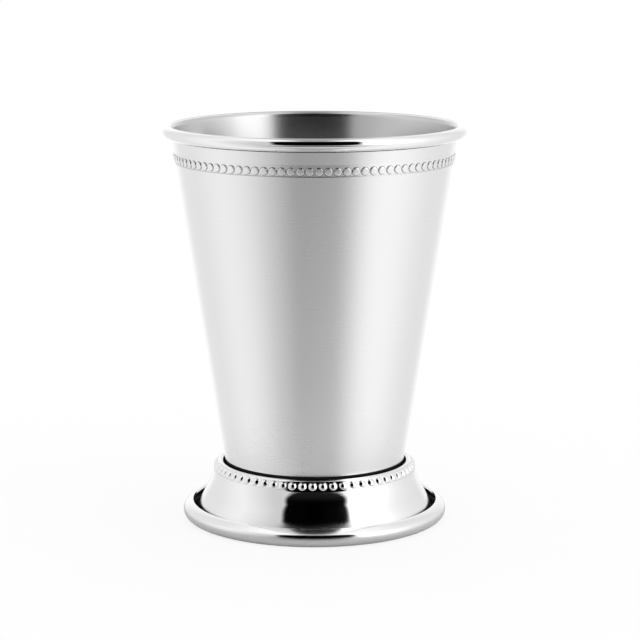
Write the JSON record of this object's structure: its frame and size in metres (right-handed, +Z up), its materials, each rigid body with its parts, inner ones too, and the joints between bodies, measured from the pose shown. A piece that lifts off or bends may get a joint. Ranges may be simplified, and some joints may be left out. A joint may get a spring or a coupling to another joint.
{
  "type": "julep cup",
  "caption": "Tapered metal beaker with an outward rolled rim, a bead band below the rim, and a flared hollow foot with a row of small domed beads at its neck.",
  "frame": {"origin": "on the table, at the centre of the ring on which the foot rests", "axes": "+Z up along the cup's axis, -Y towards the picture's camera, +X to its right"},
  "size_m": [0.084, 0.084, 0.11],
  "materials": {
    "satin_body": "satin outside and inside, with a polished rolled rim",
    "satin_band": "satin, with dark lines between the flat beads",
    "polished_foot": "mirror polished",
    "polished_beads": "mirror polished",
    "solder": "dull grey solder"
  },
  "bodies": {
    "root": {"cup_body": "satin_body", "bead_band": "satin_band", "foot_shell": "polished_foot", "neck_bead_wire": "polished_beads", "solder_ring": "solder"}
  },
  "joints": []
}
